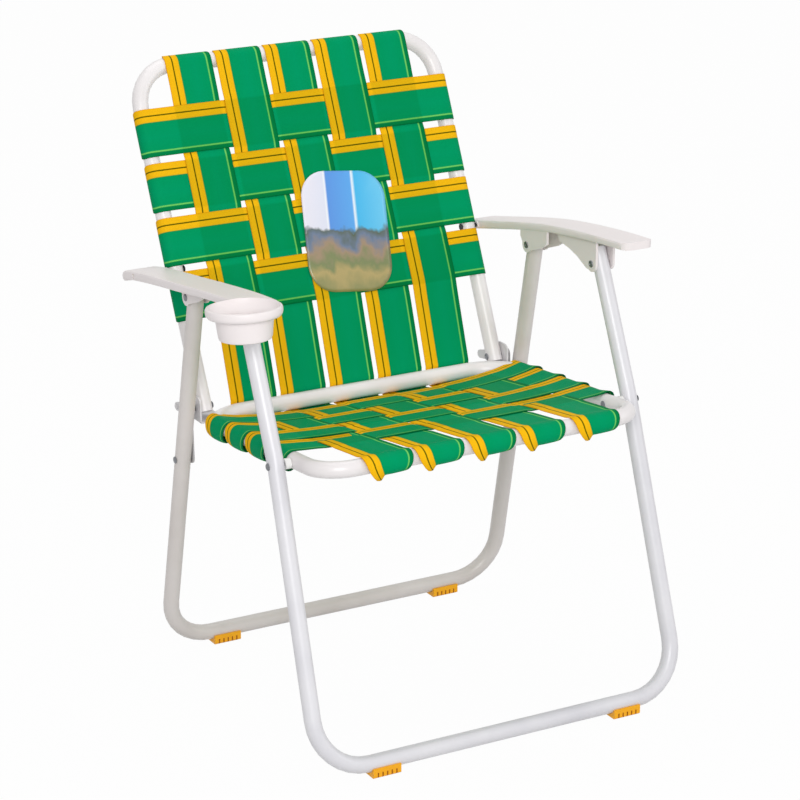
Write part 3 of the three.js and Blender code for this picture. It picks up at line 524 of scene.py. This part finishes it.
def turned(name, outline, y, z, sign):
    """Spin an outline of (distance from the axis, place along X) round the pivot at y, z."""
    bm = bmesh.new()
    ring = [bm.verts.new((x * sign, y, z + r)) for r, x in outline]
    edges = [bm.edges.new(pair) for pair in zip(ring, ring[1:])]
    bmesh.ops.spin(bm, geom=ring + edges, cent=(0, y, z), axis=(1, 0, 0), dvec=(0, 0, 0),
                   angle=2 * math.pi, steps=32, use_merge=True)
    bmesh.ops.remove_doubles(bm, verts=bm.verts, dist=1e-7)
    bmesh.ops.recalc_face_normals(bm, faces=bm.faces)
    soften(bm, angle=35)
    data = bpy.data.meshes.new(name)
    bm.to_mesh(data)
    bm.free()
    return data


def rivet_outline(inner, outer, shank, inner_head, outer_head, inner_high, outer_high):
    """From the dimple in the inner head to the dome of the outer one."""
    dimple = inner_head * 0.42
    return [
        (0, inner - inner_high * 0.35), (dimple * 0.8, inner - inner_high * 0.4), (dimple, inner - inner_high * 0.85),
        (inner_head * 0.6, inner - inner_high), (inner_head * 0.9, inner - inner_high * 0.72),
        (inner_head, inner - inner_high * 0.3), (inner_head, inner), (shank, inner), (shank, outer),
        (outer_head, outer), (outer_head, outer + outer_high * 0.25), (outer_head * 0.86, outer + outer_high * 0.7),
        (outer_head * 0.6, outer + outer_high * 0.93), (outer_head * 0.3, outer + outer_high),
        (0, outer + outer_high),
    ]


def heads_of(node):
    """Where a packed rivet's shank starts and ends along X, and its radii, read off its mesh."""
    low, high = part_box(node)
    middle = (low + high) / 2
    points = [(v.co.x, math.hypot(v.co.y - middle.y, v.co.z - middle.z)) for v in frame["nodes"][node].data.vertices]
    shank = sorted({round(x, 6) for x, r in points if abs(r - SHANK) < 0.00002})
    return low, high, middle, shank, points


for node in sorted(n for n in frame["nodes"] if "rivet" in n):
    low, high, middle, shank, points = heads_of(node)
    sign = 1 if middle.x > SHIFT.x * MM else -1
    first, last = (shank[0], shank[-1]) if sign > 0 else (-shank[-1], -shank[0])
    near = low.x if sign > 0 else -high.x
    far = high.x if sign > 0 else -low.x
    inner_head = max(r for x, r in points if x * sign <= first + 1e-5)
    outer_head = max(r for x, r in points if x * sign >= last - 1e-5)
    outline = rivet_outline(first, last, SHANK, inner_head, outer_head, first - near, far - last)
    data = turned(node + "_turned", outline, middle.y, middle.z, sign)
    # The two arm-to-back rivets are painted dark as painted shade from their access holes.
    finish = rivet_painted_shade if node.startswith("arm_back") else rivet_steel
    piece = show(node + "_finished", data, finish, body_of_node[node])
    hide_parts(node)
print("rivets turned:", len([n for n in frame["nodes"] if "rivet" in n]))

# %% [markdown]
# ## Laying a strap
# A strap is cut flat and then laid along a route: over a bar, down the frame and round the next bar. The flat
# strap starts as a grid, which also gives it its UV map, and each of its points is then placed on the route.
# How far it lifts or dips at each crossing is a smooth step between plus and minus a little more than half its
# thickness, so that it truly passes over one strap and under the next. Solidify gives it its thickness.

# %% Strap routes and the weave
TUBE, CLOTH, WEAVE, FACE = 11.0, 1.0, 0.66, 11.9
STEP, COLUMNS = 3.0, 14
LONG_WIDTH, BACK_WIDTH, SEAT_WIDTH = 69.0, 66.0, 59.5
LONG_PITCH, BACK_PITCH, SEAT_PITCH = 75.5, 75.0, 60.0
BACK_LOW, BACK_TOP = Vector((117.5, 373.5)), Vector((315.3, 796.1))
SEAT_REAR, SEAT_FRONT = Vector((105.5, 362.3)), Vector((-245.0, 396.0))
UP = (BACK_TOP - BACK_LOW).normalized()
OUT = Vector((-UP.y, UP.x))
AHEAD = (SEAT_FRONT - SEAT_REAR).normalized()
OVER = Vector((AHEAD.y, -AHEAD.x))
TOP_ROW_Z, REAR_ROW_EDGE_Y = 712.4, 74
BACK_ROWS = [(TOP_ROW_Z - BACK_LOW.y) / UP.y - BACK_PITCH * r for r in range(4)]
SEAT_ROWS = [(SEAT_REAR.x - (REAR_ROW_EDGE_Y - SEAT_WIDTH / 2 - SEAT_PITCH * r)) / -AHEAD.x for r in range(4)]
COLUMN_X = [(c - 2) * LONG_PITCH for c in range(5)]


def smooth_step(share):
    share = min(1.0, max(0.0, share))
    return share * share * (3 - 2 * share)


def weave_level(place, middles, half, heights, run_out):
    """How high a strap lies at a place along it: level at each crossing, and eased between and after them."""
    known = sorted(zip(middles, heights))
    if place <= known[0][0] - half:
        return known[0][1] * (1 - smooth_step((known[0][0] - half - place) / run_out))
    if place >= known[-1][0] + half:
        return known[-1][1] * (1 - smooth_step((place - known[-1][0] - half) / run_out))
    for (a, level_a), (b, level_b) in zip(known, known[1:]):
        if place <= b - half:
            start, end = a + half, b - half
            return level_a + (level_b - level_a) * smooth_step((place - start) / (end - start))
    return known[-1][1]


def crosses(place, middles, half):
    """1 where another strap lies against this one, and 0 elsewhere."""
    return 1.0 if any(abs(place - m) < half for m in middles) else 0.0


print("rows on the back at", [round(t) for t in BACK_ROWS], "and on the seat at", [round(t) for t in SEAT_ROWS])

# %% [markdown]
# ## A route made of straights and arcs
# The route is a list of points about three millimetres apart in a flat plane. Each one knows how far it is along
# the strap and which way the strap faces there, which is what the grid needs to be laid on it.

# %% Route helpers


def arc_points(centre, radius, first, last, ax, ay):
    """Points on an arc, with angles in degrees from the direction ax towards ay."""
    count = max(2, round(abs(last - first) * math.pi / 180 * radius / 1.5))
    turn = [math.radians(first + (last - first) * i / count) for i in range(count + 1)]
    return [centre + ax * (radius * math.cos(a)) + ay * (radius * math.sin(a)) for a in turn]


def evenly(points, step):
    """The same line with points every step, each with its distance along and its own direction."""
    runs = [0.0]
    for a, b in zip(points, points[1:]):
        runs.append(runs[-1] + (b - a).length)
    count = round(runs[-1] / step)
    placed, j = [], 0
    for i in range(count + 1):
        want = runs[-1] * i / count
        while j < len(points) - 2 and runs[j + 1] < want:
            j += 1
        share = (want - runs[j]) / max(1e-9, runs[j + 1] - runs[j])
        placed.append((points[j].lerp(points[j + 1], min(1.0, share)), want))
    line = []
    for i, (point, want) in enumerate(placed):
        before, after = placed[max(0, i - 1)][0], placed[min(count, i + 1)][0]
        line.append((point, want, (after - before).normalized()))
    return line


def lay_strap(name, line, width, place_of, details):
    """Lay a flat strap of that width along a line. place_of puts (along, across, level) in the chair."""
    rows = len(line) - 1
    bm = bmesh.new()
    bmesh.ops.create_grid(bm, x_segments=COLUMNS, y_segments=rows, size=1)
    cloth = bm.loops.layers.uv.new("cloth")
    laps = bm.verts.layers.float.new("lap")
    length = line[-1][1] * MM
    flat = {v: ((v.co.x + 1) / 2, round((v.co.y + 1) / 2 * rows)) for v in bm.verts}
    for v, (share, row) in flat.items():
        point, run, heading = line[row]
        side = (share - 0.5) * width
        level, squeeze, hang, lapped = details(point, run, side)
        v.co = place_of(point, heading, side * squeeze, level, hang)
        v[laps] = lapped
    for face in bm.faces:
        for loop in face.loops:
            share, row = flat[loop.vert]
            loop[cloth].uv = (share, line[row][1] * MM)
        face.smooth = True
    data = bpy.data.meshes.new(name)
    bm.to_mesh(data)
    bm.free()
    return data, length


def thick(piece):
    """Give a laid strap its thickness and a rounded edge, and keep the result as the piece's own mesh."""
    body = piece.modifiers.new("thickness", "SOLIDIFY")
    body.thickness = CLOTH * MM
    body.offset = 0
    edge = piece.modifiers.new("rounded edge", "BEVEL")
    edge.width = 0.3 * MM
    edge.segments = 2
    edge.limit_method = "ANGLE"
    edge.angle_limit = math.radians(60)
    view = bpy.context.evaluated_depsgraph_get()
    final = bpy.data.meshes.new_from_object(piece.evaluated_get(view))
    piece.modifiers.clear()
    piece.data = final


print("route helpers ready")

# %% [markdown]
# ## The long straps
# On the real chair one strap runs the whole way: over the top bar, down the back, behind and under the seat's
# rear bar, forward along the seat and round its front bar. The seat hangs like a hammock between its side rails,
# lowest at the rear, and the straps drift a little sideways towards the front bar. Round that bar each strap
# bulges as a loose loop. Its ends are drawn together under the bars, and at the front the yellow corner curls
# inwards and peeps out below.

# %% Long straps
WRAP = FACE
REAR_GAP, REAR_WRAP_END = 1.8, -104
REAR_WRAP = TUBE + REAR_GAP + CLOTH / 2
BEHIND_TOP, LEAVES_BACK_Z, BEFORE_FRONT, TUCKED = 15, 484, 12, 14
SEAT_LONG = (SEAT_FRONT - SEAT_REAR).length
REAR_DIP, FRONT_DIP, REAR_SLOPE = 16.0, 0.9, 0.05
SEAT_HALF, BACK_HALF = 233, 229
BACK_DIP, BACK_DIP_UP, BACK_DIP_REACH = 1.2, 280, 180
FRONT_DRIFT, DRIFT_FROM_Y, DRIFT_REACH = [4.0, 2.0, 2.5, 1.0, 8.5], 40, 240
BACK_WEAVE_FROM, SEAT_WEAVE_FROM, BAR_CLEAR = 95, 20, 2
FACE_SIDE, REAR_BAR_SIDE = 5, -12
BACK_RUN_OUT, SEAT_RUN_OUT, BAR_RISE_REAR, BAR_RISE_FRONT = 18, 14, 31, 30
END_DRAW, END_DRAW_FROM = 0.5, 44
FRONT_END = 60
LOOP_BULGE, LOOP_MIDDLE, LOOP_SPREAD, LOOP_EDGE = 6.2, 30, 14, 0.9
CORNER_FROM, CORNER_REACH = 0.16, 0.24
CORNER_HANG, CORNER_MIDDLE, CORNER_SPREAD = 8.0, 23, 8
CORNER_CURL, CORNER_CURL_FROM, CORNER_CURL_REACH = 0.34, 34, 15


def seat_dip(ahead):
    """How far the middle of the seat hangs below the top of its frame, that far ahead of the rear bar."""
    if ahead < SEAT_ROWS[0]:
        return REAR_DIP + (SEAT_ROWS[0] - ahead) * REAR_SLOPE
    return FRONT_DIP + (REAR_DIP - FRONT_DIP) * (SEAT_LONG - ahead) / (SEAT_LONG - SEAT_ROWS[0])


def hammock(share_x):
    """1 in the middle of the seat and 0 at its side rails, where the cross straps climb steeply."""
    return 1 - min(1.0, abs(share_x)) ** 4


def back_sag(share_x, up):
    """The shallow dip of the back, that far up it."""
    share_up = (up - BACK_DIP_UP) / BACK_DIP_REACH
    return -BACK_DIP * (1 - min(1.0, abs(share_x)) ** 2) * (1 - min(1.0, abs(share_up)) ** 2)


def slack(from_end, across, most, middle, spread):
    """How far a loop bulges off its bar: most in the middle of its width, and less at its two edges."""
    return most * math.exp(-((from_end - middle) / spread) ** 2) * (1 - LOOP_EDGE * across * across)


def long_line():
    """The route in the side view: top bar, back, rear bar, seat and front bar."""
    points = [BACK_TOP - UP * BEHIND_TOP - OUT * WRAP]
    points += arc_points(BACK_TOP, WRAP, 180, 0, OUT, UP)
    points += [BACK_LOW + UP * ((LEAVES_BACK_Z - BACK_LOW.y) / UP.y) + OUT * FACE]
    points += [Vector((SEAT_REAR.x + REAR_WRAP, BACK_LOW.y))]
    across, upward = Vector((1, 0)), Vector((0, 1))
    points += arc_points(SEAT_REAR, REAR_WRAP, 0, REAR_WRAP_END, across, upward)
    points += [SEAT_REAR + AHEAD * q + OVER * (FACE - seat_dip(q)) for q in (SEAT_ROWS[0], SEAT_LONG - BEFORE_FRONT)]
    points += arc_points(SEAT_FRONT, WRAP, 90, -90, AHEAD, OVER)
    points += [SEAT_FRONT - AHEAD * TUCKED - OVER * WRAP]
    return evenly(points, STEP)


def long_place(x, drift):
    def place(point, heading, side, level, hang):
        spot = point + Vector((heading.y, -heading.x)) * level
        drifted = drift * smooth_step((DRIFT_FROM_Y - spot.x) / DRIFT_REACH)
        return at(x + side + drifted, spot.x, spot.y - hang)
    return place


def on_back(point):
    """Distance up the back frame, and whether the point is on the woven part of it."""
    up, out = (point - BACK_LOW).dot(UP), (point - BACK_LOW).dot(OUT)
    return up, BACK_WEAVE_FROM < up < (BACK_TOP - BACK_LOW).length - BAR_CLEAR and out > FACE_SIDE


def on_seat(point):
    """Distance ahead of the rear bar, and whether the point is on the woven part of the seat."""
    ahead, over = (point - SEAT_REAR).dot(AHEAD), (point - SEAT_REAR).dot(OVER)
    above_bars = over > (FACE_SIDE if ahead > SEAT_LONG / 2 else REAR_BAR_SIDE)
    return ahead, SEAT_WEAVE_FROM < ahead < SEAT_LONG - BAR_CLEAR and above_bars


line = long_line()
total = line[-1][1]
for column, x in enumerate(COLUMN_X):
    heights = [-WEAVE if (r + column) % 2 == 0 else WEAVE for r in range(4)]

    def details(point, run, side, x=x, heights=heights):
        up, woven_back = on_back(point)
        ahead, woven_seat = on_seat(point)
        level, lapped, hang = 0.0, 0.0, 0.0
        if woven_back:
            level = weave_level(up, BACK_ROWS, BACK_WIDTH / 2, heights, BACK_RUN_OUT)
            level += back_sag((x + side) / BACK_HALF, up)
            lapped = crosses(up, BACK_ROWS, BACK_WIDTH / 2)
        if woven_seat:
            level = weave_level(ahead, SEAT_ROWS, SEAT_WIDTH / 2, heights, SEAT_RUN_OUT)
            carried = seat_dip(ahead) * (1 - hammock((x + side) / SEAT_HALF))
            level += carried * smooth_step(ahead / BAR_RISE_REAR) * smooth_step((SEAT_LONG - ahead) / BAR_RISE_FRONT)
            lapped = crosses(ahead, SEAT_ROWS, SEAT_WIDTH / 2)
        from_end = min(run, total - run)
        squeeze = 1 - END_DRAW * smooth_step((END_DRAW_FROM - from_end) / END_DRAW_FROM)
        if total - run < FRONT_END:
            level += slack(from_end, side / LONG_WIDTH, LOOP_BULGE, LOOP_MIDDLE, LOOP_SPREAD)
            corner = smooth_step((-side / LONG_WIDTH - CORNER_FROM) / CORNER_REACH)
            hang = CORNER_HANG * corner * math.exp(-((total - run - CORNER_MIDDLE) / CORNER_SPREAD) ** 2)
            if side < 0:
                squeeze -= CORNER_CURL * smooth_step((CORNER_CURL_FROM - from_end) / CORNER_CURL_REACH)
        return level, squeeze, hang, lapped

    data, length = lay_strap(f"long_strap_{column + 1}", line, LONG_WIDTH,
                             long_place(x, FRONT_DRIFT[column]), details)
    piece = show(f"long_strap_{column + 1}", data, web_green, None)
    thick(piece)
    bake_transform(piece)
    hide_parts(f"back_long_strap_{column + 1}", f"seat_long_strap_{column + 1}")
    LONG_WIDTH * MM * (length - 0.017)
print("one long strap is cut to", round(length, 3), "m")

# %% [markdown]
# ## The cross straps
# Four shorter straps cross the back and four cross the seat. Each is laid across the chair, over both side
# tubes, and tucked behind them. They lift over every second long strap and dip under the others, and the next
# one does the opposite, which is what locks the weave. On the seat their ends bulge off the rails as loose
# loops, more at the sitter's right hand than at the left, and the left ones lift at their front edge.

# %% Cross straps
BACK_ROW_LOW_HALF, BACK_ROW_SPREAD = 226, 3
CROSS_DRAW, CROSS_RUN_OUT = 0.42, 16
SIDE_MIDDLE, SIDE_SPREAD = 18, 10
CURL_FROM, CURL_REACH, CURL_MIDDLE, CURL_SPREAD = 0.1, 0.4, 43, 8


def cross_line(half):
    """The route across the chair, in a plane that holds its sideways and outward directions."""
    side, face = Vector((1, 0)), Vector((0, 1))
    left, right = Vector((-half, 0)), Vector((half, 0))
    points = [left + side * TUCKED - face * WRAP]
    points += arc_points(left, WRAP, -90, -270, side, face)
    points += arc_points(right, WRAP, 90, -90, side, face)
    points += [right - side * TUCKED - face * WRAP]
    return evenly(points, STEP)


def cross_strap(name, node, body, half, width, heights, centre, along_way, face_way, dip, drawn_from, bulge,
                curl):
    line = cross_line(half)
    total = line[-1][1]

    def place(point, heading, side, level, hang):
        out = Vector((-heading.y, heading.x))
        spot = point + out * level
        return at(0, 0, 0) + (Vector((spot.x, 0, 0)) + centre + along_way * side + face_way * spot.y) * MM

    def details(point, run, side):
        level, lapped = 0.0, 0.0
        if point.y > FACE_SIDE and abs(point.x) < half - BAR_CLEAR:
            level = weave_level(point.x, COLUMN_X, LONG_WIDTH / 2, heights, CROSS_RUN_OUT)
            level += dip(point.x / half, side)
            lapped = crosses(point.x, COLUMN_X, LONG_WIDTH / 2)
        from_end = min(run, total - run)
        drawn = smooth_step((drawn_from - from_end) / drawn_from)
        level += slack(from_end, side / width, bulge if run < total / 2 else bulge / 2, SIDE_MIDDLE, SIDE_SPREAD)
        if total - run < FRONT_END:
            edge = smooth_step((side / width - CURL_FROM) / CURL_REACH)
            level += curl * edge * math.exp(-((from_end - CURL_MIDDLE) / CURL_SPREAD) ** 2)
        return level, 1 - CROSS_DRAW * drawn, 0.0, lapped

    data, length = lay_strap(name, line, width, place, details)
    piece = show(name, data, web_green, body)
    thick(piece)
    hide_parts(node)
    width * MM * (length - 0.0135)
    return length


back_up, back_face = Vector((0, UP.x, UP.y)), Vector((0, OUT.x, OUT.y))
seat_ahead, seat_over = Vector((0, AHEAD.x, AHEAD.y)), Vector((0, OVER.x, OVER.y))
for row in range(4):
    heights = [WEAVE if (row + c) % 2 == 0 else -WEAVE for c in range(5)]
    t = BACK_ROWS[row]
    half = BACK_ROW_LOW_HALF + BACK_ROW_SPREAD * t * UP.y / (BACK_TOP.y - BACK_LOW.y)
    centre = Vector((0, BACK_LOW.x, BACK_LOW.y)) + back_up * t
    cross_strap(f"back_cross_{row + 1}", f"back_cross_strap_{row + 1}", "back", half, BACK_WIDTH, heights, centre,
                -back_up, back_face, lambda share, side, t=t: back_sag(share, t - side),
                drawn_from=38, bulge=1.0, curl=0.0)
    q = SEAT_ROWS[row]
    centre = Vector((0, SEAT_REAR.x, SEAT_REAR.y)) + seat_ahead * q
    length = cross_strap(f"seat_cross_{row + 1}", f"seat_cross_strap_{row + 1}", "seat", SEAT_HALF, SEAT_WIDTH,
                         heights, centre, seat_ahead, seat_over,
                         lambda share, side, q=q: -seat_dip(q + side) * hammock(share),
                         drawn_from=46, bulge=8.0 - 0.8 * row, curl=3.5)
print("one seat cross strap is cut to", round(length, 3), "m")

# %% [markdown]
# ## The hang card
# A thin card is tucked on the front of the webbing. It starts as a flat grid, its corners are pulled round, and
# it is bent a little, as card is. Its print is plain soft bands of sky and earth colours.

# %% Hang card
card = Finish("printed card", Coat_Weight=0.5, Coat_Roughness=0.12, Roughness=0.4)
card_map = card.node("ShaderNodeUVMap", {"uv_map": "card"})
card_x = card.node("ShaderNodeSeparateXYZ", None, {0: card_map}, 0)
card_y = card.node("ShaderNodeSeparateXYZ", None, {0: card_map}, 1)
wander = card.noise(card_map, scale=4.0, detail=3.0)
SKY = [(0.0, tone("e9e6f2")), (0.27, tone("dfe2f2")), (0.29, tone("f4f6fb")), (0.31, tone("4d8fe0")),
       (0.60, tone("4fa3ea")), (0.62, tone("eef6fb")), (0.65, tone("2fb4ea")), (1.0, tone("64c6ee"))]
EARTH = [(0.0, tone("8d8a52")), (0.14, tone("b09c60")), (0.24, tone("747f4c")), (0.33, tone("9c8468")),
         (0.43, tone("62748f")), (0.52, tone("47563f"))]
upper = card.node("ShaderNodeValToRGB", {"stops": SKY}, {0: card_x})
lower = card.node("ShaderNodeValToRGB", {"stops": EARTH}, {0: card_y + wander * 0.5 - 0.25})
stops = [(0.50, (0, 0, 0, 1)), (0.53, (1, 1, 1, 1))]
horizon = card.node("ShaderNodeValToRGB", {"stops": stops}, {0: card_y + wander * 0.3 - 0.15})
card.give("Base Color", card.mix(horizon, lower, upper))

CARD_HALF_W, CARD_HALF_H, CARD_CORNER = 64.0, 85.0, 38.0
CARD_X, CARD_UP, CARD_OFF, CARD_BOW, CARD_LEAN = 31.5, 204, 13.5, 0.5, math.radians(-6.5)
bm = bmesh.new()
bmesh.ops.create_grid(bm, x_segments=24, y_segments=30, size=1)
card_uv = bm.loops.layers.uv.new("card")
card_flat = {v: ((v.co.x + 1) / 2, (v.co.y + 1) / 2) for v in bm.verts}
for v in bm.verts:
    x, y = v.co.x * CARD_HALF_W, v.co.y * CARD_HALF_H
    past_x, past_y = abs(x) - (CARD_HALF_W - CARD_CORNER), abs(y) - (CARD_HALF_H - CARD_CORNER)
    if past_x > 0 and past_y > 0:
        reach = max(past_x, past_y) / math.hypot(past_x, past_y)
        x = math.copysign(CARD_HALF_W - CARD_CORNER + past_x * reach, x)
        y = math.copysign(CARD_HALF_H - CARD_CORNER + past_y * reach, y)
    bow = CARD_BOW * (x / CARD_HALF_W) ** 2
    turned_x = x * math.cos(CARD_LEAN) - y * math.sin(CARD_LEAN)
    turned_y = x * math.sin(CARD_LEAN) + y * math.cos(CARD_LEAN)
    spot = Vector((CARD_X + turned_x, BACK_LOW.x, BACK_LOW.y))
    spot += back_up * (CARD_UP + turned_y) + back_face * (CARD_OFF + bow)
    v.co = at(*spot)
for face in bm.faces:
    face.smooth = True
    for loop in face.loops:
        loop[card_uv].uv = card_flat[loop.vert]
data = bpy.data.meshes.new("hang_card_bent")
bm.to_mesh(data)
bm.free()
piece = show("hang_card_finished", data, card.material, "back")
body = piece.modifiers.new("card thickness", "SOLIDIFY")
body.thickness = 0.5 * MM
body.offset = 0
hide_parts("hang_card")
print("card is", CARD_HALF_W * 2, "by", CARD_HALF_H * 2, "mm")
